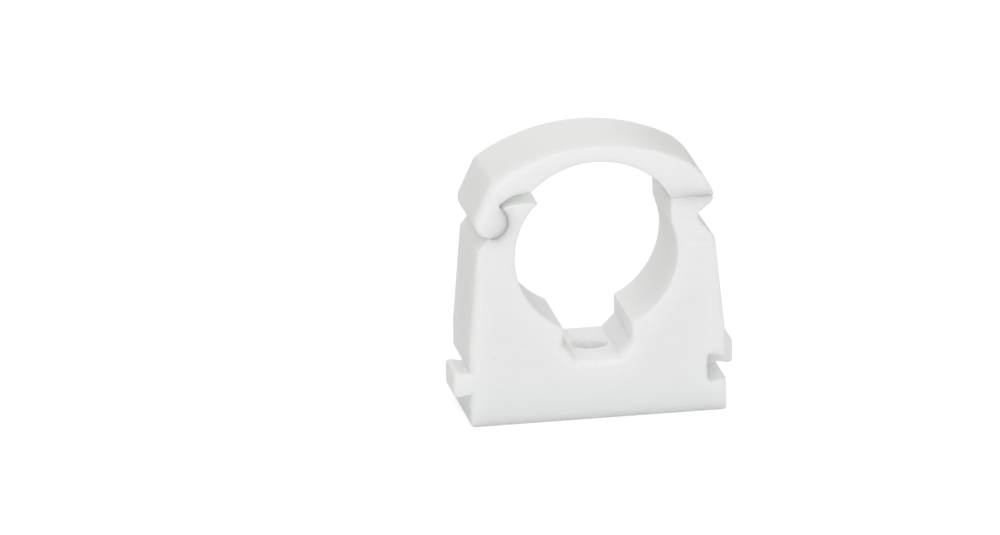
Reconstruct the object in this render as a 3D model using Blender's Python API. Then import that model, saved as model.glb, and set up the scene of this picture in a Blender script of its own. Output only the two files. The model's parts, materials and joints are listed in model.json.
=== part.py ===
"""Hinged pipe clip for a 22 mm pipe, closed, in white polypropylene.

Metres, +Z up. X is the width, with the hinge at -X and the latch at +X. Y is the pipe's axis, and the
front face is at -Y. The origin is at the middle of the underside, where the clip meets its wall.
The clip is two mouldings: the base, which is screwed down, and the strap, which turns on its knuckle.
"""
import math

import bmesh
import bpy
from mathutils import Matrix, Vector

# Pipe bore and body
BORE_RADIUS = 0.01105
BORE_HEIGHT = 0.02295
DEPTH = 0.0137
SIDE_WALL = 0.0063
HALF_WIDTH = BORE_RADIUS + SIDE_WALL
STRAIGHT_HEIGHT = 0.0109
FLANK_TAPER = math.radians(5.35)
SHOULDER_SLOPE = math.radians(48)
BOTTOM_CORNER = 0.0004
SHOULDER_CORNER = 0.0005
NOTCH_ROUND = 0.0006
CHIN_ROUND = 0.0008
RIM_ROUND = 0.00025

# Screw recess in the floor of the bore
RECESS_HALF_WIDTH = 0.00472
RECESS_DEPTH = 0.00343
RECESS_FLOOR = BORE_HEIGHT - BORE_RADIUS - RECESS_DEPTH
RECESS_CHAMFER = 0.0018
SCREW_HOLE_RADIUS = 0.00215
COUNTERSINK = 0.00045

# Hinge: the strap's round bead in the base's cup, with a nose of the base between it and the bore
HINGE_INSET = 0.00315
HINGE_RISE = 0.0054
HINGE_X = HINGE_INSET - HALF_WIDTH
HINGE_Z = BORE_HEIGHT + HINGE_RISE
KNUCKLE_RADIUS = 0.0022
HINGE_CLEARANCE = 0.00015
CUP_START = math.radians(51)
CUP_END = math.radians(-94)
NOSE_RISE = 0.00765
NOSE_BOW = 0.00035
SHOULDER_DROP = 0.0041
SHOULDER_HEIGHT = HINGE_Z - SHOULDER_DROP

# Closing face, and the post that carries it, with its beak and the notch under the beak
PARTING_RISE = 0.00725
PARTING_HEIGHT = BORE_HEIGHT + PARTING_RISE
PARTING_FALL = math.radians(2)
PARTING_GAP = 0.0002
POST_INSET = 0.00085
POST_INNER = BORE_RADIUS - POST_INSET
BEAK_INSET = 0.00142
BEAK_TIP_X = HALF_WIDTH - BEAK_INSET
BEAK_TIP_DROP = 0.0003
BEAK_CREST = BEAK_TIP_X - 0.00015
BEAK_CHIN_X = BEAK_TIP_X - 0.00045
BEAK_CHIN_DROP = 0.001
BEAK_THROAT_X = BEAK_TIP_X - 0.002
BEAK_THROAT_DROP = 0.0022
NOTCH_X = BEAK_TIP_X - 0.0023
NOTCH_HEIGHT = PARTING_HEIGHT - 0.0029
NOTCH_FLOOR_X = BEAK_TIP_X - 0.00158

# Latch: the strap's leg in a pocket of the post, with a hook under a catch and a tab that flares out
LATCH_INSET = 0.0029
LATCH_OUTER = HALF_WIDTH - LATCH_INSET
LATCH_THICKNESS = 0.0011
LATCH_BOTTOM = SHOULDER_HEIGHT + 0.0001
LATCH_HOOK = 0.00045
LATCH_HOOK_X = LATCH_OUTER - LATCH_THICKNESS - LATCH_HOOK
LATCH_HOOK_TOP = LATCH_BOTTOM + 0.002
LATCH_HOOK_LENGTH = 0.0009
LATCH_SIDE_GAP = 0.00025
LATCH_TIP_CHAMFER = 0.0003
TAB_FLARE = 0.0008
TAB_START = LATCH_BOTTOM + 0.0021
TAB_EDGE = LATCH_BOTTOM + 0.0006
LATCH_WEB = 0.00425
POCKET_FRONT = LATCH_WEB - DEPTH / 2
POCKET_CLEARANCE = 0.0002
POCKET_BOTTOM = LATCH_BOTTOM - POCKET_CLEARANCE
POCKET_GAP = 0.0006
POCKET_X = LATCH_HOOK_X - POCKET_GAP
CATCH_CLEARANCE = 0.00007
CATCH_GAP = 0.0004
CATCH_LAND = 0.0006
CATCH_RAMP = 0.0014

# Strap: a round inner face, a flatter crown, and a nose that drops to the closing face
STRAP_CLEARANCE = 0.00142
STRAP_ARC_X = 0.00012
STRAP_ARC_Z = BORE_HEIGHT + 0.00037
STRAP_ARC_RADIUS = BORE_RADIUS + STRAP_CLEARANCE
STRAP_ARC_START = math.radians(135.3)
STRAP_ARC_END = math.radians(45)
CROWN_THICKNESS = 0.00227
CROWN_RADIUS = 0.0261
CROWN_X = 0.00035
CROWN_INSET = 0.00445
CROWN_END_X = HALF_WIDTH - CROWN_INSET
STRAP_SIDE_ANGLE = math.radians(155)
STRAP_SHOULDER_ROUND = 0.0016
BROW_BOW = 0.00052
NOSE_OVERHANG = 0.00005
NOSE_X = BEAK_TIP_X + NOSE_OVERHANG
NOSE_FACE = 0.00035
NOSE_ROUND = 0.0003
THROAT_ANGLE = math.radians(58)
THROAT_BOW = 0.00043

# Side interlocks: a lug on half of the depth and a socket on the other half
LUG_REACH = 0.0023
LUG_HEIGHT = 0.00592
LUG_ROOT = 0.0029
LUG_TIP = 0.0038
LUG_ROUND = 0.0006
SOCKET_CLEARANCE = 0.00012
SOCKET_END_GAP = 0.0002
LUG_SETBACK = 0.0001

# Fineness of the curves
ARC_STEP = math.radians(6)
ARC_CHORD = 0.0012
RIM_SEGMENTS = 2
HOLE_SIDES = 48
OVERCUT = 0.002
SMOOTH_ANGLE = math.radians(35)

WHITE = (0.86, 0.87, 0.86, 1.0)


def clear_scene():
    for item in list(bpy.data.objects):
        bpy.data.objects.remove(item, do_unlink=True)


def make_collection(name):
    collection = bpy.data.collections.new(name)
    bpy.context.scene.collection.children.link(collection)
    return collection


def plastic(name, roughness):
    material = bpy.data.materials.new(name)
    material.use_nodes = True
    shader = material.node_tree.nodes["Principled BSDF"]
    shader.inputs["Base Color"].default_value = WHITE
    shader.inputs["Roughness"].default_value = roughness
    shader.inputs["Metallic"].default_value = 0.0
    return material


def arc(center, radius, start, end):
    """Points along an arc, both ends included."""
    sweep = abs(end - start)
    count = max(2, math.ceil(sweep / ARC_STEP), math.ceil(sweep * radius / ARC_CHORD))
    turn = [start + (end - start) * i / count for i in range(count + 1)]
    return [(center[0] + radius * math.cos(a), center[1] + radius * math.sin(a)) for a in turn]


def bow(start, end, rise):
    """Points of an arc between two points, standing out by rise to the right of the way, without its ends."""
    chord = math.dist(start, end)
    radius = chord ** 2 / (8 * rise) + rise / 2
    along = ((end[0] - start[0]) / chord, (end[1] - start[1]) / chord)
    center = ((start[0] + end[0]) / 2 - along[1] * (radius - rise),
              (start[1] + end[1]) / 2 + along[0] * (radius - rise))
    start_angle = math.atan2(start[1] - center[1], start[0] - center[0])
    sweep = 2 * math.asin(chord / (2 * radius))
    return arc(center, radius, start_angle, start_angle + sweep)[1:-1]


def rounded(corner, before, after, radius):
    """Points of the fillet that replaces a corner of an outline."""
    first = (before[0] - corner[0], before[1] - corner[1])
    second = (after[0] - corner[0], after[1] - corner[1])
    first_length = math.hypot(*first)
    second_length = math.hypot(*second)
    dot = (first[0] * second[0] + first[1] * second[1]) / (first_length * second_length)
    opening = math.acos(max(-1.0, min(1.0, dot)))
    reach = radius / math.tan(opening / 2)
    start = (corner[0] + first[0] * reach / first_length, corner[1] + first[1] * reach / first_length)
    end = (corner[0] + second[0] * reach / second_length, corner[1] + second[1] * reach / second_length)
    middle = ((start[0] + end[0]) / 2, (start[1] + end[1]) / 2)
    along = math.hypot(middle[0] - corner[0], middle[1] - corner[1])
    span = radius / math.sin(opening / 2)
    center = (corner[0] + (middle[0] - corner[0]) * span / along,
              corner[1] + (middle[1] - corner[1]) * span / along)
    start_angle = math.atan2(start[1] - center[1], start[0] - center[0])
    end_angle = math.atan2(end[1] - center[1], end[0] - center[0])
    sweep = (end_angle - start_angle + math.pi) % (2 * math.pi) - math.pi
    return arc(center, radius, start_angle, start_angle + sweep)


def soften(points, radii):
    """Rounds the corners of an outline whose index is a key of radii."""
    result = []
    count = len(points)
    for i, point in enumerate(points):
        if i in radii:
            result.extend(rounded(point, points[i - 1], points[(i + 1) % count], radii[i]))
        else:
            result.append(point)
    return result


def extrude_outline(name, points, front, back, collection, rim=0.0):
    """A flat outline in X and Z, carried along Y from front to back, as a closed mesh with rounded rims."""
    curve = bpy.data.curves.new(name, "CURVE")
    curve.dimensions = "2D"
    curve.fill_mode = "BOTH"
    curve.extrude = (back - front) / 2
    spline = curve.splines.new("POLY")
    spline.points.add(len(points) - 1)
    for place, (x, z) in zip(spline.points, points):
        place.co = (x, z, 0.0, 1.0)
    spline.use_cyclic_u = True
    drawn = bpy.data.objects.new(name + "_outline", curve)
    collection.objects.link(drawn)
    drawn.rotation_euler = (math.pi / 2, 0.0, 0.0)
    drawn.location = (0.0, (front + back) / 2, 0.0)
    bpy.context.view_layer.update()
    depsgraph = bpy.context.evaluated_depsgraph_get()
    mesh = bpy.data.meshes.new_from_object(drawn.evaluated_get(depsgraph))
    mesh.transform(drawn.matrix_world)
    bpy.data.objects.remove(drawn, do_unlink=True)
    work = bmesh.new()
    work.from_mesh(mesh)
    bmesh.ops.remove_doubles(work, verts=work.verts, dist=0.000001)
    bmesh.ops.recalc_face_normals(work, faces=work.faces)
    caps = [face for face in work.faces if abs(face.normal.y) > 0.99]
    bmesh.ops.dissolve_faces(work, faces=caps, use_verts=False)
    if rim:
        rims = [edge for edge in work.edges if abs(edge.verts[0].co.y - edge.verts[1].co.y) < 0.000001]
        bmesh.ops.bevel(work, geom=rims, offset=rim, segments=RIM_SEGMENTS, profile=0.5, affect="EDGES",
                        clamp_overlap=False)
    work.to_mesh(mesh)
    work.free()
    solid = bpy.data.objects.new(name, mesh)
    collection.objects.link(solid)
    return solid


def combine(target, tool, operation):
    step = target.modifiers.new(tool.name, "BOOLEAN")
    step.operation = operation
    step.solver = "EXACT"
    step.object = tool
    tool.hide_render = True
    tool.display_type = "WIRE"


def parting_z(x):
    """Height of the base's closing face, which falls towards the latch."""
    return PARTING_HEIGHT - (x - POST_INNER) * math.tan(PARTING_FALL)


def flank_x(z):
    """Half of the width at a height, straight below and tapered above."""
    return HALF_WIDTH - max(0.0, z - STRAIGHT_HEIGHT) * math.tan(FLANK_TAPER)


def base_outline():
    """The base from its lower left corner, anticlockwise as seen from the front."""
    bore_center = (0.0, BORE_HEIGHT)
    cup_radius = KNUCKLE_RADIUS + HINGE_CLEARANCE
    hinge_center = (HINGE_X, HINGE_Z)
    shoulder_x = flank_x(SHOULDER_HEIGHT)
    throat = (BEAK_THROAT_X, parting_z(BEAK_THROAT_X) - BEAK_THROAT_DROP)
    notch_floor_z = SHOULDER_HEIGHT + (shoulder_x - NOTCH_FLOOR_X) * math.tan(SHOULDER_SLOPE)
    right_side = [
        (-HALF_WIDTH, 0.0),
        (HALF_WIDTH, 0.0),
        (HALF_WIDTH, STRAIGHT_HEIGHT),
        (shoulder_x, SHOULDER_HEIGHT),
        (NOTCH_FLOOR_X, notch_floor_z),
        (NOTCH_X, NOTCH_HEIGHT),
        throat,
        (BEAK_CHIN_X, parting_z(BEAK_CHIN_X) - BEAK_CHIN_DROP),
        (BEAK_TIP_X, parting_z(BEAK_TIP_X) - BEAK_TIP_DROP),
        (BEAK_CREST, parting_z(BEAK_CREST)),
        (POST_INNER, parting_z(POST_INNER)),
    ]
    wall_angle = math.acos(POST_INNER / BORE_RADIUS)
    recess_angle = math.acos(RECESS_HALF_WIDTH / BORE_RADIUS)
    recess_right = [
        (RECESS_HALF_WIDTH, RECESS_FLOOR + RECESS_CHAMFER),
        (RECESS_HALF_WIDTH - RECESS_CHAMFER, RECESS_FLOOR),
    ]
    recess_left = [(-x, z) for x, z in reversed(recess_right)]
    nose_angle = math.pi - math.asin(NOSE_RISE / BORE_RADIUS)
    bore_right = arc(bore_center, BORE_RADIUS, wall_angle, -recess_angle)
    bore_left = arc(bore_center, BORE_RADIUS, math.pi + recess_angle, nose_angle)
    cup = arc(hinge_center, cup_radius, CUP_START, CUP_END)
    nose_top = bow(bore_left[-1], cup[0], NOSE_BOW)
    left_side = [
        (-shoulder_x, SHOULDER_HEIGHT),
        (-HALF_WIDTH, STRAIGHT_HEIGHT),
    ]
    points = right_side + bore_right + recess_right + recess_left + bore_left + nose_top + cup + left_side
    left_shoulder = len(points) - 2
    radii = {
        0: BOTTOM_CORNER,
        1: BOTTOM_CORNER,
        3: SHOULDER_CORNER,
        5: NOTCH_ROUND,
        7: CHIN_ROUND,
        left_shoulder: SHOULDER_CORNER,
    }
    return soften(points, radii)


def strap_outline():
    """The strap from the top of its knuckle, round the knuckle, over the crown and back inside."""
    hinge_center = (HINGE_X, HINGE_Z)
    knuckle = arc(hinge_center, KNUCKLE_RADIUS, THROAT_ANGLE, STRAP_SIDE_ANGLE - 2 * math.pi)
    crown_top = STRAP_ARC_Z + STRAP_ARC_RADIUS + CROWN_THICKNESS
    crown_center = (CROWN_X, crown_top - CROWN_RADIUS)
    side_direction = (math.sin(STRAP_SIDE_ANGLE), -math.cos(STRAP_SIDE_ANGLE))
    side_start = knuckle[-1]
    reach = 0.0
    while math.dist((side_start[0] + side_direction[0] * reach, side_start[1] + side_direction[1] * reach),
                    crown_center) < CROWN_RADIUS:
        reach += 0.00002
    shoulder = (side_start[0] + side_direction[0] * reach, side_start[1] + side_direction[1] * reach)
    shoulder_angle = math.atan2(shoulder[1] - crown_center[1], shoulder[0] - crown_center[0])
    crest_angle = math.acos((CROWN_END_X - CROWN_X) / CROWN_RADIUS)
    crown = arc(crown_center, CROWN_RADIUS, shoulder_angle, crest_angle)
    under = PARTING_GAP
    nose_z = parting_z(NOSE_X) + under
    nose = [
        (NOSE_X, nose_z + NOSE_FACE),
        (NOSE_X, nose_z),
    ]
    brow = bow(nose[0], crown[-1], BROW_BOW)[::-1]
    closing = [(POST_INNER, parting_z(POST_INNER) + under)]
    inner = arc((STRAP_ARC_X, STRAP_ARC_Z), STRAP_ARC_RADIUS, STRAP_ARC_END, STRAP_ARC_START)
    throat = bow(inner[-1], knuckle[0], THROAT_BOW)
    points = knuckle + crown + brow + nose + closing + inner + throat
    shoulder_index = len(knuckle)
    radii = {
        shoulder_index: STRAP_SHOULDER_ROUND,
        shoulder_index + len(crown) + len(brow) + 1: NOSE_ROUND,
    }
    return soften(points, radii)


def lug_outline(side, root, tip, reach, bury):
    """A dovetail on the flank of one side, +1 or -1, that starts inside the base by bury."""
    face = HALF_WIDTH - bury
    flare = (tip - root) / 2 / reach
    inner = root / 2 - flare * bury
    corners = [
        (side * face, LUG_HEIGHT - inner),
        (side * (HALF_WIDTH + reach), LUG_HEIGHT - tip / 2),
        (side * (HALF_WIDTH + reach), LUG_HEIGHT + tip / 2),
        (side * face, LUG_HEIGHT + inner),
    ]
    return soften(corners, {1: LUG_ROUND, 2: LUG_ROUND})


def socket_outline(side):
    """The dovetail socket that takes a lug of the next clip, with its clearance."""
    depth = LUG_REACH + SOCKET_END_GAP
    flare = (LUG_TIP - LUG_ROOT) / 2 / LUG_REACH
    mouth = LUG_ROOT / 2 + SOCKET_CLEARANCE
    deep = mouth + flare * depth
    outside = mouth - flare * OVERCUT
    corners = [
        (side * (HALF_WIDTH + OVERCUT), LUG_HEIGHT + outside),
        (side * (HALF_WIDTH - depth), LUG_HEIGHT + deep),
        (side * (HALF_WIDTH - depth), LUG_HEIGHT - deep),
        (side * (HALF_WIDTH + OVERCUT), LUG_HEIGHT - outside),
    ]
    return soften(corners, {1: LUG_ROUND, 2: LUG_ROUND})


def catch_outline():
    """The catch on the post, whose tip just clears the arc that the hook's corner sweeps."""
    bottom = LATCH_HOOK_TOP + CATCH_GAP
    sweep = math.dist((LATCH_HOOK_X, LATCH_HOOK_TOP), (HINGE_X, HINGE_Z)) - CATCH_CLEARANCE
    tip_x = HINGE_X + math.sqrt(sweep ** 2 - (bottom - HINGE_Z) ** 2)
    root_x = POCKET_X - LATCH_THICKNESS
    return [
        (root_x, bottom),
        (tip_x, bottom),
        (tip_x, bottom + CATCH_LAND),
        (POCKET_X, bottom + CATCH_LAND + CATCH_RAMP),
        (root_x, bottom + CATCH_LAND + CATCH_RAMP),
    ]


def latch_outline():
    """The strap's latch, a flat leg in the post's pocket, whose hook sits under the catch."""
    inner = LATCH_OUTER - LATCH_THICKNESS
    top = parting_z(inner) + PARTING_GAP + LATCH_THICKNESS / 2
    return [
        (inner, top),
        (LATCH_OUTER - LATCH_TIP_CHAMFER, top),
        (LATCH_OUTER, top - LATCH_THICKNESS / 2),
        (LATCH_OUTER, TAB_START),
        (LATCH_OUTER + TAB_FLARE, TAB_EDGE),
        (LATCH_OUTER + TAB_FLARE - LATCH_TIP_CHAMFER, LATCH_BOTTOM),
        (inner + LATCH_TIP_CHAMFER, LATCH_BOTTOM),
        (LATCH_HOOK_X, LATCH_HOOK_TOP - LATCH_HOOK_LENGTH),
        (LATCH_HOOK_X, LATCH_HOOK_TOP),
        (inner, LATCH_HOOK_TOP),
    ]


def box_outline(left, right, bottom, top):
    return [(left, bottom), (right, bottom), (right, top), (left, top)]


def latch_span():
    """Front and back of the latch leg and of its catch, between the pocket's front wall and the back face."""
    return POCKET_FRONT + LATCH_SIDE_GAP, DEPTH / 2 - RIM_ROUND


def put_with(tool, name, cutters):
    tool.name = name
    for owner in list(tool.users_collection):
        owner.objects.unlink(tool)
    cutters.objects.link(tool)
    return tool


def build_base(clip, cutters):
    half = DEPTH / 2
    base = extrude_outline("base", base_outline(), -half, half, clip, RIM_ROUND)
    for side in (1, -1):
        lug_span = (LUG_SETBACK, half - LUG_SETBACK) if side > 0 else (LUG_SETBACK - half, -LUG_SETBACK)
        socket_span = (-half - OVERCUT, 0.0) if side > 0 else (0.0, half + OVERCUT)
        name = "right" if side > 0 else "left"
        lug = lug_outline(side, LUG_ROOT, LUG_TIP, LUG_REACH, LUG_REACH / 2)
        combine(base, extrude_outline(name + "_lug", lug, *lug_span, cutters), "UNION")
        socket = extrude_outline(name + "_socket", socket_outline(side), *socket_span, cutters)
        combine(base, socket, "DIFFERENCE")
    room = box_outline(POCKET_X, HALF_WIDTH + OVERCUT, POCKET_BOTTOM, PARTING_HEIGHT + OVERCUT)
    pocket = extrude_outline("latch_pocket", room, POCKET_FRONT, half + OVERCUT, cutters)
    combine(base, pocket, "DIFFERENCE")
    combine(base, extrude_outline("catch", catch_outline(), *latch_span(), cutters), "UNION")
    bpy.ops.mesh.primitive_cylinder_add(
        vertices=HOLE_SIDES, radius=SCREW_HOLE_RADIUS, depth=RECESS_FLOOR + 2 * OVERCUT,
        location=(0.0, 0.0, RECESS_FLOOR / 2))
    combine(base, put_with(bpy.context.object, "screw_hole", cutters), "DIFFERENCE")
    bpy.ops.mesh.primitive_cone_add(
        vertices=HOLE_SIDES, radius1=SCREW_HOLE_RADIUS - COUNTERSINK,
        radius2=SCREW_HOLE_RADIUS + 2 * COUNTERSINK, depth=3 * COUNTERSINK,
        location=(0.0, 0.0, RECESS_FLOOR - COUNTERSINK / 2))
    combine(base, put_with(bpy.context.object, "countersink", cutters), "DIFFERENCE")
    return base


def build_strap(clip, cutters):
    """The strap, whose origin is on the hinge's axis."""
    half = DEPTH / 2
    strap = extrude_outline("strap", strap_outline(), -half, half, clip, RIM_ROUND)
    combine(strap, extrude_outline("latch", latch_outline(), *latch_span(), cutters), "UNION")
    pivot = Vector((HINGE_X, 0.0, HINGE_Z))
    strap.data.transform(Matrix.Translation(-pivot))
    strap.location = pivot
    return strap


def finish(solid, material):
    solid.data.materials.append(material)
    solid.data.shade_smooth()
    solid.data.set_sharp_from_angle(angle=SMOOTH_ANGLE)


def build_clip():
    clear_scene()
    clip = make_collection("pipe_clip")
    cutters = make_collection("cutters")
    finish(build_base(clip, cutters), plastic("base_plastic", 0.35))
    finish(build_strap(clip, cutters), plastic("strap_plastic", 0.35))


if __name__ == "__main__":
    build_clip()
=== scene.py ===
"""Looks of the hinged pipe clip: softly rounded mouldings in white polypropylene, floor, light, camera.

Metres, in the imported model's frame: +Z up, X from the hinge to the latch, Y along the pipe, front at -Y.
The clip's sizes are in millimetres below and are turned into metres where a point is drawn. The distances
of the camera, the floor and the lamps are in metres.
"""
import json
import math

import bmesh
import bpy
from mathutils import Matrix, Vector


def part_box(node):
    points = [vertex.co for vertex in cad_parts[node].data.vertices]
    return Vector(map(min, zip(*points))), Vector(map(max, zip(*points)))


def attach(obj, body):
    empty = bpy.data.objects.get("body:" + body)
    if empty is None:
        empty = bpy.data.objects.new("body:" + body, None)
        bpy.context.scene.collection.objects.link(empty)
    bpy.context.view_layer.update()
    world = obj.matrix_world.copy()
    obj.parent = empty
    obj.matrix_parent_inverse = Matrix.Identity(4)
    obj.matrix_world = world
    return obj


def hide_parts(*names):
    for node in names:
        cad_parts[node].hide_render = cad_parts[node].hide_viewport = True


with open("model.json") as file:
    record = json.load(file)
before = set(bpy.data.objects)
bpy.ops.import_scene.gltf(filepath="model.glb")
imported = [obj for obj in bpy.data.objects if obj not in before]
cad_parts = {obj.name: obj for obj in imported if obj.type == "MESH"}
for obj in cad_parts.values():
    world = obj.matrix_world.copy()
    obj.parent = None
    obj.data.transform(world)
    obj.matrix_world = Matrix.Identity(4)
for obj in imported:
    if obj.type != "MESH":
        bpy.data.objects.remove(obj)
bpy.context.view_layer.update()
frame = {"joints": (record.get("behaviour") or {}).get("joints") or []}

MM = 0.001
hinge = Vector(frame["joints"][0]["pos_m"]) / MM
base_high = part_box("base")[1] / MM
strap_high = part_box("strap")[1] / MM
HALF_DEPTH = base_high.y
LUG_END = base_high.x

# Base moulding
HALF_WIDTH = 17.35
STRAIGHT_HEIGHT = 10.9
FLANK_TAPER = math.radians(5.2)
SHOULDER_HEIGHT = hinge.z - 4.1
SHOULDER_SLOPE = math.radians(48)
SHOULDER_X = HALF_WIDTH - (SHOULDER_HEIGHT - STRAIGHT_HEIGHT) * math.tan(FLANK_TAPER)
SHOULDER_CORNER = 0.5
BORE_RADIUS = 11.05
BORE_HEIGHT = 22.95
RECESS_HALF_WIDTH = 4.72
RECESS_FLOOR = 8.47
RECESS_CHAMFER = 1.8
SCREW_HOLE_RADIUS = 2.15
COUNTERSINK = 0.45
CUP_RADIUS = 2.3
CUP_START = math.radians(51)
CUP_END = math.radians(-100)
NOSE_HEIGHT = 30.6
NOSE_BOW = 0.35
NOSE_TIP_X = -7.82
NOSE_ROOT = math.radians(25)
NOSE_UNDER_BOW = -0.15

# Closing face, beak and notch
PARTING_HEIGHT = 30.23
PARTING_FALL = math.tan(math.radians(2))
PARTING_GAP = 0.012
POST_INNER = 10.2
POST_FOOT_X = 10.24
POST_FOOT_Z = 26.7
POST_JOIN = math.radians(5)
POST_FOOT_BOW = -0.06
POST_MIDDLE = 13.0
BEAK_TIP = 16.0
BEAK_TIP_DROP = 0.3
BEAK_CREST = 15.85
BEAK_CHIN = 15.6
BEAK_CHIN_DROP = 1.03
BEAK_THROAT = 14.04
BEAK_THROAT_DROP = 2.22
NOTCH_X = 13.78
NOTCH_HEIGHT = 27.3
NOTCH_FLOOR_X = 14.35
NOTCH_ROUND = 0.6
CHIN_ROUND = 0.8

# Latch: the strap's leg and hook, and the base's pocket and catch
LATCH_OUTER = 14.45
LATCH_INNER = 13.35
LATCH_HOOK_X = 12.9
LATCH_BOTTOM = 24.35
LATCH_HOOK_TOP = 26.35
LATCH_HOOK_LENGTH = 0.9
LATCH_SIDE_GAP = 0.25
LATCH_BURY = 0.8
LATCH_CHAMFER = 0.3
TAB_FLARE = 0.8
TAB_START = 26.45
TAB_EDGE = 24.95
POCKET_FRONT = -2.6
POCKET_X = 12.3
POCKET_BOTTOM = 24.15
CATCH_TIP = 12.85
CATCH_BOTTOM = 26.75
CATCH_LAND = 0.6
CATCH_RAMP = 1.4
CATCH_BURY = 1.1

# Strap moulding: the bead, the straight side, the crown, the lip over the beak and the arc over the bore
BEAD_RADIUS = 2.285
BEAD_BACK_RADIUS = 2.175
BEAD_DROP = 0.11
BEAD_START = math.radians(58)
SIDE_ANGLE = math.radians(155)
SHOULDER_ROUND = 1.7
ARC_X = 0.12
ARC_Z = 23.32
ARC_RADIUS = 12.47
ARC_START = math.radians(45)
ARC_END = math.radians(135.3)
CROWN_X = 0.3
CROWN_TOP = strap_high.z
CROWN_RADIUS = 25.8
CROWN_END = 12.6
BROW_BOW = 0.48
LIP_X = 16.04
LIP_FACE = 0.35
LIP_ROUND = 0.3
THROAT_BOW = 0.43

# Dovetails
LUG_HEIGHT = 5.92
LUG_ROOT = 2.9
LUG_TIP = 3.8
SOCKET_CLEARANCE = 0.12
SOCKET_DEPTH = 2.5
LUG_SETBACK = 0.1
LUG_BURY = 1.1
DOVETAIL_ROUND = 0.6

# Roundings of the rims round both faces
RIM = 0.22
BACK_RIM = 0.22
LEFT_FLANK_RIM = 1.2
RIGHT_FLANK_RIM = 0.15
FLOOR_RIM = 1.5
POST_RIM = 0.8
FOOT_RIM = 0.12
SIDE_RIM = 1.3
CROWN_RIM = 0.45
CROWN_BACK_RIM = 0.4
BEAD_RIM = 0.6
CUP_RIM = 0.02
SEAM_RIM = 0.02
LUG_RIM = 0.35
BEAK_RIM = 0.1
TIP_RIM = 0.05
RIM_SEGMENTS = 6

# Where one rim passes into the next; turns are in degrees about the hinge, anticlockwise from the right
NEAR = 0.05
TIP_TAPER = 0.25
FOOT_ROUND = 0.35
FOOT_HEIGHT = 3.0
SHOULDER_FADE = 3.2
UNDER_BEAK = 0.5
BEAK_REACH = 0.3
POST_RISE = 6.0
SEAM_REACH = 0.2
LIP_FADE = 0.4
CROWN_SOFT_X = -13.5
CROWN_CRISP_X = -5.0
BEAD_SOFT_TURN = 155
BEAD_CRISP_TURN = 200
BEAD_OPEN_TURN = 205
BEAD_OPEN_REACH = 50
BEAD_SHUT_REACH = 65

# Meshes: their fineness, and how far a cutting tool stands out of the clip
HOLE_SIDES = 96
CUT_REACH = 2.0
ARC_STEP = math.radians(2.5)
SAME_PLACE = 0.002
SMOOTH_ANGLE = math.radians(30)

# Camera, with lens and sensor in millimetres
AIM = Vector((-11.914, 0.064, 19.893)) * MM
CAMERA_DISTANCE = 1.5852
CAMERA_AZIMUTH = math.radians(-9.75)
CAMERA_ELEVATION = math.radians(17.46)
CAMERA_ROLL = math.radians(1.13)
CAMERA_LENS = 425.95
SENSOR_WIDTH = 36.0

# White polypropylene: tones, a painted shade that darkens the foot, then the depth of its relief and how far
# light goes into it
CLOUD_SHADE = (0.958, 0.964, 0.958, 1.0)
CLOUD_WHITE = (0.976, 0.985, 0.985, 1.0)
FLOW_SHADE = (0.94, 0.945, 0.935, 1.0)
# Painted shade: the plastic is coloured darker over its lowest 10 mm, standing in for the dimmer light near
# the bottom
FOOT_PAINTED_SHADE = (0.85, 0.865, 0.86, 1.0)
PAINTED_SHADE_TOP = 10.0
SCUFF_WHITE = (0.99, 0.99, 0.99, 1.0)
SPECK_BROWN = (0.8, 0.78, 0.74, 1.0)
RELIEF = 0.02
GLOW_DEPTH = 2.0

# Floor and surroundings
FLOOR_SIZE = 8.0
FLOOR_DROP = 0.0001
FLOOR_COLOR = (0.88, 0.88, 0.87, 1.0)
FLOOR_SEEN = (0.9, 0.9, 0.9, 1.0)
FLOOR_GLOW = 0.4
WORLD_COLOR = (1.0, 0.995, 0.985, 1.0)
WHITE = (1.0, 1.0, 1.0, 1.0)

# Light
COOL_LIGHT = (0.97, 1.0, 1.0)
WARM_LIGHT = (1.0, 0.99, 0.97)
LIGHT_SIZE = 0.9
LIGHT_DISTANCE = 1.2
CLIP_MIDDLE = Vector((0.0, 0.0, 0.02))
WORLD_STRENGTH = 0.605
FRONT_POWER = 2.9
HIGH_POWER = 2.3
BACK_POWER = 1.3
LIGHT_BOUNCES = 32


def deselect():
    if bpy.context.object and bpy.context.object.mode == "EDIT":
        bpy.ops.object.mode_set(mode="OBJECT")
    bpy.ops.object.select_all(action="DESELECT")


def start_outline(name, x, z, front):
    """Starts an outline in the plane of a front face: one point, left selected in edit mode."""
    deselect()
    bpy.ops.mesh.primitive_plane_add(size=MM, location=(x * MM, front * MM, z * MM))
    piece = bpy.context.object
    piece.name = name
    bpy.ops.object.transform_apply(location=True, rotation=True, scale=True)
    bpy.ops.object.mode_set(mode="EDIT")
    bpy.ops.mesh.select_mode(type="VERT")
    bpy.ops.mesh.merge(type="CENTER")
    return piece


def pen_place():
    work = bmesh.from_edit_mesh(bpy.context.object.data)
    point = next(vert for vert in work.verts if vert.select)
    return point.co / MM


def line_to(x, z):
    here = pen_place()
    step = ((x - here.x) * MM, 0.0, (z - here.z) * MM)
    bpy.ops.mesh.extrude_region_move(TRANSFORM_OT_translate={"value": step})


def lines_to(*corners):
    for x, z in corners:
        line_to(x, z)


def arc_about(center_x, center_z, angle):
    """Swings the point about a centre, anticlockwise as seen from the front for a positive angle."""
    steps = max(2, math.ceil(abs(angle) / ARC_STEP))
    center = (center_x * MM, pen_place().y * MM, center_z * MM)
    bpy.ops.mesh.spin(steps=steps, angle=angle, center=center, axis=(0.0, 1.0, 0.0))


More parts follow.
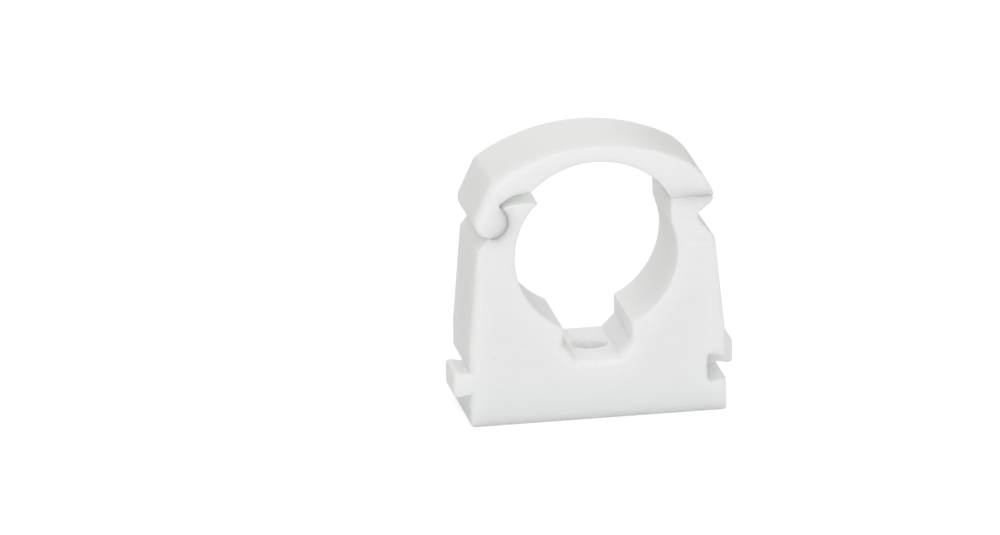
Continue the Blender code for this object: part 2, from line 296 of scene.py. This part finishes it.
def bow_to(x, z, rise):
    """An arc to a point, with its middle standing out by rise to the right of the way there."""
    here = pen_place()
    along = Vector((x - here.x, z - here.z))
    radius = along.length_squared / (8 * rise) + rise / 2
    left = Vector((-along.y, along.x)).normalized()
    center = Vector((here.x, here.z)) + along / 2 + left * (radius - rise)
    arc_about(center.x, center.y, 2 * math.asin(along.length / (2 * radius)))


def close_outline(piece, depth):
    """Closes the outline, fills it and carries it back through the piece's depth."""
    bpy.ops.mesh.select_all(action="SELECT")
    bpy.ops.mesh.remove_doubles(threshold=SAME_PLACE / 2 * MM)
    bpy.ops.mesh.edge_face_add()
    bpy.ops.mesh.extrude_region_move(TRANSFORM_OT_translate={"value": (0.0, depth * MM, 0.0)})
    bpy.ops.mesh.select_all(action="SELECT")
    bpy.ops.mesh.normals_make_consistent(inside=False)
    bpy.ops.mesh.select_all(action="DESELECT")
    return piece


def round_corner(x, z, radius):
    """Rounds the long edge of the solid in edit mode that runs through a corner of its outline."""
    bpy.ops.mesh.select_all(action="DESELECT")
    bpy.ops.mesh.select_mode(type="EDGE")
    work = bmesh.from_edit_mesh(bpy.context.object.data)
    place = Vector((x, z)) * MM
    edge = next(
        edge for edge in work.edges
        if all((Vector((vert.co.x, vert.co.z)) - place).length < SAME_PLACE * MM for vert in edge.verts)
    )
    turn = edge.calc_face_angle()
    edge.select = True
    bmesh.update_edit_mesh(bpy.context.object.data)
    segments = max(2, math.ceil(turn / ARC_STEP / 2))
    bpy.ops.mesh.bevel(offset=radius * math.tan(turn / 2) * MM, segments=segments, clamp_overlap=False)


def corner_plan(cap, side, rim_radius):
    """For each corner of a face: its place, its rim radius, and the way in that moves both sides alike."""
    corners = [loop.vert for loop in cap.loops]
    plan = []
    for index, vert in enumerate(corners):
        following = corners[(index + 1) % len(corners)]
        inward_before = cap.normal.cross(vert.co - corners[index - 1].co).normalized()
        inward_after = cap.normal.cross(following.co - vert.co).normalized()
        way_in = (inward_before + inward_after).normalized()
        way_in /= way_in.dot(inward_after)
        radius = rim_radius(vert.co.x / MM, vert.co.z / MM, side) * MM
        plan.append((vert.co.copy(), radius, way_in))
    return corners, plan


def round_rims(piece, rim_radius):
    """Rounds the edges round both faces of the solid in edit mode, with rings that follow a quarter circle.
    rim_radius gives the radius at a place of the outline, for the front (-1) or the back (+1)."""
    bpy.ops.mesh.select_mode(type="FACE")
    for side in (-1, 1):
        bpy.ops.mesh.select_all(action="DESELECT")
        work = bmesh.from_edit_mesh(piece.data)
        caps = [face for face in work.faces if face.normal.y * side > 0.9]
        cap = max(caps, key=lambda face: face.calc_area())
        cap.select = True
        number = work.verts.layers.int.new("corner")
        corners, plan = corner_plan(cap, side, rim_radius)
        for index, vert in enumerate(corners):
            vert[number] = index
            vert.co.y -= side * plan[index][1]
        bmesh.update_edit_mesh(piece.data)
        for step in range(1, RIM_SEGMENTS + 1):
            turn = step / RIM_SEGMENTS * math.pi / 2
            bpy.ops.mesh.extrude_region_move()
            work = bmesh.from_edit_mesh(piece.data)
            number = work.verts.layers.int["corner"]
            for vert in (vert for vert in work.verts if vert.select):
                place, radius, way_in = plan[vert[number]]
                vert.co = place + way_in * radius * (1 - math.cos(turn))
                vert.co.y = place.y - side * radius * (1 - math.sin(turn))
            bmesh.update_edit_mesh(piece.data)
        work = bmesh.from_edit_mesh(piece.data)
        work.verts.layers.int.remove(work.verts.layers.int["corner"])
        bmesh.update_edit_mesh(piece.data)
    bpy.ops.mesh.select_all(action="SELECT")
    bpy.ops.mesh.normals_make_consistent(inside=False)
    bpy.ops.object.mode_set(mode="OBJECT")


def apply_all(piece):
    deselect()
    piece.select_set(True)
    bpy.context.view_layer.objects.active = piece
    for modifier in list(piece.modifiers):
        bpy.ops.object.modifier_apply(modifier=modifier.name)


def join_solid(piece, tool, operation):
    """Adds a solid to a piece or cuts it out of it, and removes the tool."""
    step = piece.modifiers.new("join", "BOOLEAN")
    step.operation = operation
    step.solver = "EXACT"
    step.object = tool
    apply_all(piece)
    bpy.data.objects.remove(tool, do_unlink=True)


def finish_surface(piece, body, node):
    deselect()
    piece.select_set(True)
    bpy.context.view_layer.objects.active = piece
    bpy.ops.object.shade_smooth_by_angle(angle=SMOOTH_ANGLE)
    even = piece.modifiers.new("even_shading", "WEIGHTED_NORMAL")
    even.keep_sharp = True
    apply_all(piece)
    piece.data.materials.clear()
    piece.data.materials.append(plastic)
    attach(piece, body)
    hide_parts(node)


def parting_z(x):
    """Height of the post's closing face, which falls towards the latch."""
    return PARTING_HEIGHT - (x - POST_INNER) * PARTING_FALL


def ramp(value, start, end, low, high):
    """Goes evenly from low to high while value goes from start to end, and stays there on both sides."""
    share = min(1.0, max(0.0, (value - start) / (end - start)))
    return low + (high - low) * share


def circle_point(center_x, center_z, radius, angle):
    return center_x + radius * math.cos(angle), center_z + radius * math.sin(angle)


def base_tips():
    """The sharp tips of the base's outline: the nose, the top of the cup and the beak."""
    cup_top = circle_point(hinge.x, hinge.z, CUP_RADIUS, CUP_START)
    beak = (BEAK_TIP, parting_z(BEAK_TIP) - BEAK_TIP_DROP)
    return [(NOSE_TIP_X, NOSE_HEIGHT), cup_top, beak]


def flank_rim(x, z, side):
    """Soft on the left of the front and crisper elsewhere, fading towards the foot and the shoulder."""
    full = BACK_RIM
    if side < 0:
        full = LEFT_FLANK_RIM if x < 0 else RIGHT_FLANK_RIM
    if z < FOOT_HEIGHT:
        return ramp(z, FOOT_ROUND, FOOT_HEIGHT, FOOT_RIM, full)
    fade_start = SHOULDER_HEIGHT - SHOULDER_FADE
    return ramp(z, fade_start, SHOULDER_HEIGHT - SHOULDER_CORNER, full, min(full, RIM))


def base_rim(x, z, side):
    """Rim radius at a place of the base's outline, on the front (-1) or the back (+1)."""
    if math.dist((x, z), (hinge.x, hinge.z)) < CUP_RADIUS + NEAR:
        return CUP_RIM
    if z < FOOT_ROUND:
        return FOOT_RIM
    if abs(x) > NOTCH_FLOOR_X - NEAR and z < NOTCH_HEIGHT - UNDER_BEAK:
        return flank_rim(x, z, side)
    if abs(x) < RECESS_HALF_WIDTH + NEAR and side < 0:
        return ramp(z, RECESS_FLOOR, RECESS_FLOOR + 2 * RECESS_CHAMFER, FLOOR_RIM, RIM)
    if x > NOTCH_X - BEAK_REACH and z < parting_z(x) - UNDER_BEAK:
        return BEAK_RIM
    if x > 0 and z > BORE_HEIGHT + POST_RISE and side < 0:
        reach = math.dist((x, z), base_tips()[2])
        return min(TIP_RIM + TIP_TAPER * reach, ramp(x, POST_INNER, POST_MIDDLE, POST_RIM, RIM))
    reach = min(math.dist((x, z), tip) for tip in base_tips())
    return min(RIM, TIP_RIM + TIP_TAPER * reach)


def make_base():
    front = -HALF_DEPTH
    depth = 2 * HALF_DEPTH
    recess_angle = math.acos(RECESS_HALF_WIDTH / BORE_RADIUS)
    recess_top = BORE_HEIGHT - BORE_RADIUS * math.sin(recess_angle)
    notch_floor = SHOULDER_HEIGHT + (SHOULDER_X - NOTCH_FLOOR_X) * math.tan(SHOULDER_SLOPE)
    chamfered = RECESS_HALF_WIDTH - RECESS_CHAMFER
    fade_z = SHOULDER_HEIGHT - SHOULDER_FADE
    fade_x = SHOULDER_X + SHOULDER_FADE * math.tan(FLANK_TAPER)
    base = start_outline("base_moulding", -HALF_WIDTH, 0.0, front)
    lines_to(
        (HALF_WIDTH, 0.0),
        (HALF_WIDTH, FOOT_HEIGHT),
        (HALF_WIDTH, STRAIGHT_HEIGHT),
        (fade_x, fade_z),
        (SHOULDER_X, SHOULDER_HEIGHT),
        (NOTCH_FLOOR_X, notch_floor),
        (NOTCH_X, NOTCH_HEIGHT),
        (BEAK_THROAT, parting_z(BEAK_THROAT) - BEAK_THROAT_DROP),
        (BEAK_CHIN, parting_z(BEAK_CHIN) - BEAK_CHIN_DROP),
        (BEAK_TIP, parting_z(BEAK_TIP) - BEAK_TIP_DROP),
        (BEAK_CREST, parting_z(BEAK_CREST)),
        (POST_MIDDLE, parting_z(POST_MIDDLE)),
        (POST_INNER, PARTING_HEIGHT),
        (POST_FOOT_X, POST_FOOT_Z),
    )
    bow_to(*circle_point(0.0, BORE_HEIGHT, BORE_RADIUS, POST_JOIN), POST_FOOT_BOW)
    arc_about(0.0, BORE_HEIGHT, -POST_JOIN - recess_angle)
    lines_to(
        (RECESS_HALF_WIDTH, RECESS_FLOOR + RECESS_CHAMFER),
        (chamfered, RECESS_FLOOR),
        (-chamfered, RECESS_FLOOR),
        (-RECESS_HALF_WIDTH, RECESS_FLOOR + RECESS_CHAMFER),
        (-RECESS_HALF_WIDTH, recess_top),
    )
    arc_about(0.0, BORE_HEIGHT, -NOSE_ROOT - recess_angle)
    bow_to(NOSE_TIP_X, NOSE_HEIGHT, NOSE_UNDER_BOW)
    bow_to(*circle_point(hinge.x, hinge.z, CUP_RADIUS, CUP_START), NOSE_BOW)
    arc_about(hinge.x, hinge.z, CUP_END - CUP_START)
    lines_to(
        (-SHOULDER_X, SHOULDER_HEIGHT),
        (-fade_x, fade_z),
        (-HALF_WIDTH, STRAIGHT_HEIGHT),
        (-HALF_WIDTH, FOOT_HEIGHT),
        (-HALF_WIDTH, 0.0),
    )
    close_outline(base, depth)
    round_corner(-HALF_WIDTH, 0.0, FOOT_ROUND)
    round_corner(HALF_WIDTH, 0.0, FOOT_ROUND)
    round_corner(SHOULDER_X, SHOULDER_HEIGHT, SHOULDER_CORNER)
    round_corner(-SHOULDER_X, SHOULDER_HEIGHT, SHOULDER_CORNER)
    round_corner(NOTCH_X, NOTCH_HEIGHT, NOTCH_ROUND)
    round_corner(BEAK_CHIN, parting_z(BEAK_CHIN) - BEAK_CHIN_DROP, CHIN_ROUND)
    round_rims(base, base_rim)
    for side in (1, -1):
        add_dovetail(base, side)
        cut_socket(base, side)
    cut_latch_pocket(base)
    add_catch(base)
    cut_screw_hole(base)
    finish_surface(base, "base", "base")


def add_dovetail(base, side):
    """A lug on the back half of the right side, or on the front half of the left side."""
    front = LUG_SETBACK if side > 0 else LUG_SETBACK - HALF_DEPTH
    flare = (LUG_TIP - LUG_ROOT) / 2 / (LUG_END - HALF_WIDTH)
    inner = LUG_ROOT / 2 - flare * LUG_BURY
    lug = start_outline("lug", side * (HALF_WIDTH - LUG_BURY), LUG_HEIGHT - inner, front)
    lines_to(
        (side * LUG_END, LUG_HEIGHT - LUG_TIP / 2),
        (side * LUG_END, LUG_HEIGHT + LUG_TIP / 2),
        (side * (HALF_WIDTH - LUG_BURY), LUG_HEIGHT + inner),
        (side * (HALF_WIDTH - LUG_BURY), LUG_HEIGHT - inner),
    )
    close_outline(lug, HALF_DEPTH - 2 * LUG_SETBACK)
    round_corner(side * LUG_END, LUG_HEIGHT - LUG_TIP / 2, DOVETAIL_ROUND)
    round_corner(side * LUG_END, LUG_HEIGHT + LUG_TIP / 2, DOVETAIL_ROUND)
    round_rims(lug, lambda x, z, side: LUG_RIM)
    join_solid(base, lug, "UNION")


def cut_socket(base, side):
    """The socket for a neighbour's lug, on the half of the depth that has no lug of its own."""
    front = -HALF_DEPTH - CUT_REACH if side > 0 else 0.0
    flare = (LUG_TIP - LUG_ROOT) / 2 / (LUG_END - HALF_WIDTH)
    mouth = LUG_ROOT / 2 + SOCKET_CLEARANCE
    deep = mouth + flare * SOCKET_DEPTH
    narrow = mouth - flare * CUT_REACH
    back_x = side * (HALF_WIDTH - SOCKET_DEPTH)
    front_x = side * (HALF_WIDTH + CUT_REACH)
    tool = start_outline("socket", front_x, LUG_HEIGHT + narrow, front)
    lines_to(
        (back_x, LUG_HEIGHT + deep),
        (back_x, LUG_HEIGHT - deep),
        (front_x, LUG_HEIGHT - narrow),
        (front_x, LUG_HEIGHT + narrow),
    )
    close_outline(tool, HALF_DEPTH + CUT_REACH)
    round_corner(back_x, LUG_HEIGHT + deep, DOVETAIL_ROUND)
    round_corner(back_x, LUG_HEIGHT - deep, DOVETAIL_ROUND)
    bpy.ops.object.mode_set(mode="OBJECT")
    join_solid(base, tool, "DIFFERENCE")


def cut_latch_pocket(base):
    tool = start_outline("pocket", POCKET_X, POCKET_BOTTOM, POCKET_FRONT)
    top = PARTING_HEIGHT + CUT_REACH
    right = HALF_WIDTH + CUT_REACH
    lines_to((right, POCKET_BOTTOM), (right, top), (POCKET_X, top), (POCKET_X, POCKET_BOTTOM))
    close_outline(tool, HALF_DEPTH + CUT_REACH - POCKET_FRONT)
    bpy.ops.object.mode_set(mode="OBJECT")
    join_solid(base, tool, "DIFFERENCE")


def add_catch(base):
    root = POCKET_X - CATCH_BURY
    land = CATCH_BOTTOM + CATCH_LAND
    front = POCKET_FRONT + LATCH_SIDE_GAP
    tool = start_outline("catch", root, CATCH_BOTTOM, front)
    lines_to((CATCH_TIP, CATCH_BOTTOM), (CATCH_TIP, land), (POCKET_X, land + CATCH_RAMP),
             (root, land + CATCH_RAMP), (root, CATCH_BOTTOM))
    close_outline(tool, HALF_DEPTH - BACK_RIM - front)
    bpy.ops.object.mode_set(mode="OBJECT")
    join_solid(base, tool, "UNION")


def cut_screw_hole(base):
    deselect()
    depth = RECESS_FLOOR + 2 * CUT_REACH
    bpy.ops.mesh.primitive_cylinder_add(vertices=HOLE_SIDES, radius=SCREW_HOLE_RADIUS * MM, depth=depth * MM,
                                        location=(0.0, 0.0, RECESS_FLOOR / 2 * MM))
    join_solid(base, bpy.context.object, "DIFFERENCE")
    deselect()
    bpy.ops.mesh.primitive_cone_add(vertices=HOLE_SIDES, radius1=(SCREW_HOLE_RADIUS - COUNTERSINK) * MM,
                                    radius2=(SCREW_HOLE_RADIUS + 2 * COUNTERSINK) * MM,
                                    depth=3 * COUNTERSINK * MM,
                                    location=(0.0, 0.0, (RECESS_FLOOR - COUNTERSINK / 2) * MM))
    join_solid(base, bpy.context.object, "DIFFERENCE")


def crown_shoulder():
    """Where the strap's straight side meets the circle of its crown."""
    start = Vector(circle_point(hinge.x, hinge.z - BEAD_DROP, BEAD_BACK_RADIUS, SIDE_ANGLE))
    way = Vector((math.sin(SIDE_ANGLE), -math.cos(SIDE_ANGLE)))
    offset = start - Vector((CROWN_X, CROWN_TOP - CROWN_RADIUS))
    half = way.dot(offset)
    reach = -half + math.sqrt(half ** 2 - offset.length_squared + CROWN_RADIUS ** 2)
    return start + way * reach


def strap_rim(x, z, side):
    """Rim radius at a place of the strap's outline, on the front (-1) or the back (+1)."""
    crown_rim = CROWN_RIM if side < 0 else CROWN_BACK_RIM
    if math.dist((x, z), (hinge.x, hinge.z)) < BEAD_RADIUS + NEAR:
        turn = math.degrees(math.atan2(z - hinge.z, x - hinge.x)) % 360
        soft = ramp(turn, BEAD_SOFT_TURN, BEAD_CRISP_TURN, SIDE_RIM, BEAD_RIM) if side < 0 else BACK_RIM
        return ramp(abs(turn - BEAD_OPEN_TURN), BEAD_OPEN_REACH, BEAD_SHUT_REACH, soft, CUP_RIM)
    if x > POST_INNER - NEAR and z < PARTING_HEIGHT + SEAM_REACH:
        return SEAM_RIM
    if x > CROWN_END - NEAR:
        return ramp(x, CROWN_END, LIP_X - LIP_FADE, crown_rim, SEAM_RIM)
    if math.dist((x, z), (ARC_X, ARC_Z)) < ARC_RADIUS + 2 * NEAR:
        return RIM
    return ramp(x, CROWN_SOFT_X, CROWN_CRISP_X, SIDE_RIM, CROWN_RIM) if side < 0 else crown_rim


def make_strap():
    crown_z = CROWN_TOP - CROWN_RADIUS
    shoulder = crown_shoulder()
    shoulder_angle = math.atan2(shoulder.y - crown_z, shoulder.x - CROWN_X)
    crest_angle = math.acos((CROWN_END - CROWN_X) / CROWN_RADIUS)
    lip_z = parting_z(LIP_X) + PARTING_GAP
    bead_x, bead_z = circle_point(hinge.x, hinge.z, BEAD_RADIUS, BEAD_START)
    strap = start_outline("strap_moulding", bead_x, bead_z, -HALF_DEPTH)
    arc_about(hinge.x, hinge.z, -math.pi / 2 - BEAD_START)
    arc_about(hinge.x, hinge.z - BEAD_DROP, SIDE_ANGLE - math.pi * 3 / 2)
    line_to(shoulder.x, shoulder.y)
    arc_about(CROWN_X, crown_z, crest_angle - shoulder_angle)
    bow_to(LIP_X, lip_z + LIP_FACE, -BROW_BOW)
    lines_to(
        (LIP_X, lip_z),
        (POST_INNER, PARTING_HEIGHT + PARTING_GAP),
        circle_point(ARC_X, ARC_Z, ARC_RADIUS, ARC_START),
    )
    arc_about(ARC_X, ARC_Z, ARC_END - ARC_START)
    bow_to(bead_x, bead_z, THROAT_BOW)
    close_outline(strap, 2 * HALF_DEPTH)
    round_corner(shoulder.x, shoulder.y, SHOULDER_ROUND)
    round_corner(LIP_X, lip_z, LIP_ROUND)
    round_rims(strap, strap_rim)
    add_latch(strap)
    finish_surface(strap, "strap", "strap")


def add_latch(strap):
    top = parting_z(LATCH_INNER) + LATCH_BURY
    front = POCKET_FRONT + LATCH_SIDE_GAP
    leg = start_outline("latch", LATCH_INNER, top, front)
    lines_to(
        (LATCH_INNER, LATCH_HOOK_TOP),
        (LATCH_HOOK_X, LATCH_HOOK_TOP),
        (LATCH_HOOK_X, LATCH_HOOK_TOP - LATCH_HOOK_LENGTH),
        (LATCH_INNER + LATCH_CHAMFER, LATCH_BOTTOM),
        (LATCH_OUTER + TAB_FLARE - LATCH_CHAMFER, LATCH_BOTTOM),
        (LATCH_OUTER + TAB_FLARE, TAB_EDGE),
        (LATCH_OUTER, TAB_START),
        (LATCH_OUTER, top - 2 * LATCH_CHAMFER),
        (LATCH_OUTER - LATCH_CHAMFER, top),
        (LATCH_INNER, top),
    )
    close_outline(leg, HALF_DEPTH - BACK_RIM - front)
    bpy.ops.object.mode_set(mode="OBJECT")
    join_solid(strap, leg, "UNION")


def node_setup(name):
    material = bpy.data.materials.new(name)
    material.use_nodes = True
    tree = material.node_tree
    return material, tree, tree.nodes["Principled BSDF"]


def soft_noise(tree, place, scale, detail, stretch=(1.0, 1.0, 1.0)):
    """Noise that sits on the piece, with about scale waves in a metre before it is stretched."""
    mapping = tree.nodes.new("ShaderNodeMapping")
    mapping.inputs["Scale"].default_value = stretch
    noise = tree.nodes.new("ShaderNodeTexNoise")
    noise.inputs["Scale"].default_value = scale
    noise.inputs["Detail"].default_value = detail
    tree.links.new(place, mapping.inputs["Vector"])
    tree.links.new(mapping.outputs["Vector"], noise.inputs["Vector"])
    return noise.outputs["Fac"]


def spread(tree, value, low, high, to_low=0.0, to_high=1.0):
    """Turns the values from low to high into to_low to to_high, and holds them outside."""
    step = tree.nodes.new("ShaderNodeMapRange")
    step.inputs["From Min"].default_value = low
    step.inputs["From Max"].default_value = high
    step.inputs["To Min"].default_value = to_low
    step.inputs["To Max"].default_value = to_high
    tree.links.new(value, step.inputs["Value"])
    return step.outputs["Result"]


def blend_colors(tree, share, first, second):
    """Mixes two colours, or an output and a colour, by a share."""
    mix = tree.nodes.new("ShaderNodeMix")
    mix.data_type = "RGBA"
    tree.links.new(share, mix.inputs["Factor"])
    for socket, color in (("A", first), ("B", second)):
        if isinstance(color, tuple):
            mix.inputs[socket].default_value = color
        else:
            tree.links.new(color, mix.inputs[socket])
    return mix.outputs["Result"]


def add_values(tree, first, second):
    total = tree.nodes.new("ShaderNodeMath")
    total.operation = "ADD"
    tree.links.new(first, total.inputs[0])
    tree.links.new(second, total.inputs[1])
    return total.outputs[0]


def white_polypropylene():
    """Slightly clear white plastic: cloudy tone, faint flow lines, painted shade darker towards the foot,
    scuffs and specks, satin skin.
    """
    material, tree, shader = node_setup("white_polypropylene")
    place = tree.nodes.new("ShaderNodeTexCoord").outputs["Object"]
    clouds = soft_noise(tree, place, scale=160.0, detail=3.0)
    flow = soft_noise(tree, place, scale=220.0, detail=4.0, stretch=(1.0, 1.0, 9.0))
    scuffs = soft_noise(tree, place, scale=420.0, detail=2.0, stretch=(1.0, 1.0, 14.0))
    specks = soft_noise(tree, place, scale=2300.0, detail=0.0)
    grain = soft_noise(tree, place, scale=5200.0, detail=2.0)
    height = tree.nodes.new("ShaderNodeSeparateXYZ")
    tree.links.new(place, height.inputs["Vector"])
    # Painted shade: darker towards the bottom of the clip, fading out 10 mm up
    painted_foot_shade = spread(tree, height.outputs["Z"], PAINTED_SHADE_TOP * MM, 0.0)
    tone = blend_colors(tree, spread(tree, clouds, 0.35, 0.65), CLOUD_SHADE, CLOUD_WHITE)
    tone = blend_colors(tree, spread(tree, flow, 0.56, 0.7, to_high=0.5), tone, FLOW_SHADE)
    tone = blend_colors(tree, painted_foot_shade, tone, FOOT_PAINTED_SHADE)
    tone = blend_colors(tree, spread(tree, scuffs, 0.68, 0.76, to_high=0.6), tone, SCUFF_WHITE)
    tone = blend_colors(tree, spread(tree, specks, 0.8, 0.84, to_high=0.35), tone, SPECK_BROWN)
    tree.links.new(tone, shader.inputs["Base Color"])
    polish = spread(tree, add_values(tree, clouds, scuffs), 0.8, 1.3, to_low=0.3, to_high=0.44)
    tree.links.new(polish, shader.inputs["Roughness"])
    lines = spread(tree, flow, 0.3, 0.8, to_high=0.6)
    relief = add_values(tree, lines, spread(tree, grain, 0.3, 0.7, to_high=0.25))
    bump = tree.nodes.new("ShaderNodeBump")
    bump.inputs["Strength"].default_value = 0.5
    bump.inputs["Distance"].default_value = RELIEF * MM
    tree.links.new(relief, bump.inputs["Height"])
    tree.links.new(bump.outputs["Normal"], shader.inputs["Normal"])
    shader.inputs["IOR"].default_value = 1.49
    shader.inputs["Subsurface Weight"].default_value = 1.0
    shader.inputs["Subsurface Radius"].default_value = (1.0, 1.0, 1.0)
    shader.inputs["Subsurface Scale"].default_value = GLOW_DEPTH * MM
    return material


def make_floor():
    """A pale floor that the camera sees as white, but for the clip's shadow."""
    deselect()
    bpy.ops.mesh.primitive_plane_add(size=FLOOR_SIZE, location=(0.0, 0.0, -FLOOR_DROP))
    floor = bpy.context.object
    floor.name = "floor"
    material, tree, shader = node_setup("floor_white")
    shader.inputs["Roughness"].default_value = 0.9
    shader.inputs["Specular IOR Level"].default_value = 0.0
    shader.inputs["Emission Color"].default_value = WHITE
    path = tree.nodes.new("ShaderNodeLightPath")
    tint = tree.nodes.new("ShaderNodeMix")
    tint.data_type = "RGBA"
    tint.inputs["A"].default_value = FLOOR_COLOR
    tint.inputs["B"].default_value = FLOOR_SEEN
    tree.links.new(path.outputs["Is Camera Ray"], tint.inputs["Factor"])
    tree.links.new(tint.outputs["Result"], shader.inputs["Base Color"])
    seen = tree.nodes.new("ShaderNodeMath")
    seen.operation = "MULTIPLY"
    seen.inputs[1].default_value = FLOOR_GLOW
    tree.links.new(path.outputs["Is Camera Ray"], seen.inputs[0])
    tree.links.new(seen.outputs[0], shader.inputs["Emission Strength"])
    floor.data.materials.append(material)


def make_world():
    """Soft light from all round; the camera sees plain white."""
    world = bpy.data.worlds.new("studio")
    bpy.context.scene.world = world
    world.use_nodes = True
    tree = world.node_tree
    background = tree.nodes["Background"]
    path = tree.nodes.new("ShaderNodeLightPath")
    tint = tree.nodes.new("ShaderNodeMix")
    tint.data_type = "RGBA"
    tint.inputs["A"].default_value = WORLD_COLOR
    tint.inputs["B"].default_value = WHITE
    tree.links.new(path.outputs["Is Camera Ray"], tint.inputs["Factor"])
    tree.links.new(tint.outputs["Result"], background.inputs["Color"])
    strength = tree.nodes.new("ShaderNodeMapRange")
    strength.inputs["To Min"].default_value = WORLD_STRENGTH
    strength.inputs["To Max"].default_value = 1.0
    tree.links.new(path.outputs["Is Camera Ray"], strength.inputs["Value"])
    tree.links.new(strength.outputs["Result"], background.inputs["Strength"])


def area_light(name, azimuth, elevation, power, color):
    """A large square lamp that faces the clip, at angles in degrees: from the front to the right, and up."""
    light = bpy.data.lights.new(name, "AREA")
    light.shape = "SQUARE"
    light.size = LIGHT_SIZE
    light.energy = power
    light.color = color
    lamp = bpy.data.objects.new(name, light)
    bpy.context.scene.collection.objects.link(lamp)
    turn, rise = math.radians(azimuth), math.radians(elevation)
    away = Vector((math.sin(turn) * math.cos(rise), -math.cos(turn) * math.cos(rise), math.sin(rise)))
    lamp.location = CLIP_MIDDLE + away * LIGHT_DISTANCE
    lamp.rotation_euler = away.to_track_quat("Z", "Y").to_euler()


def make_camera():
    camera = bpy.data.cameras.new("camera")
    camera.lens = CAMERA_LENS
    camera.sensor_width = SENSOR_WIDTH
    camera.clip_start = 0.1
    camera.clip_end = 20.0
    rig = bpy.data.objects.new("camera", camera)
    bpy.context.scene.collection.objects.link(rig)
    turn, rise = CAMERA_AZIMUTH, CAMERA_ELEVATION
    back = Vector((math.sin(turn) * math.cos(rise), -math.cos(turn) * math.cos(rise), math.sin(rise)))
    level = Vector((math.cos(turn), math.sin(turn), 0.0))
    upright = back.cross(level)
    right = level * math.cos(CAMERA_ROLL) - upright * math.sin(CAMERA_ROLL)
    up = level * math.sin(CAMERA_ROLL) + upright * math.cos(CAMERA_ROLL)
    rotation = Matrix((right, up, back)).transposed()
    rig.matrix_world = Matrix.Translation(AIM + back * CAMERA_DISTANCE) @ rotation.to_4x4()
    bpy.context.scene.camera = rig


plastic = white_polypropylene()
make_base()
make_strap()
make_floor()
make_world()
area_light("front_light", azimuth=-12.0, elevation=12.0, power=FRONT_POWER, color=COOL_LIGHT)
area_light("high_light", azimuth=-8.0, elevation=38.0, power=HIGH_POWER, color=COOL_LIGHT)
area_light("back_light", azimuth=180.0, elevation=30.0, power=BACK_POWER, color=WARM_LIGHT)
make_camera()
bpy.context.scene.view_settings.view_transform = "Standard"
bpy.context.scene.cycles.max_bounces = LIGHT_BOUNCES
bpy.context.scene.cycles.diffuse_bounces = LIGHT_BOUNCES
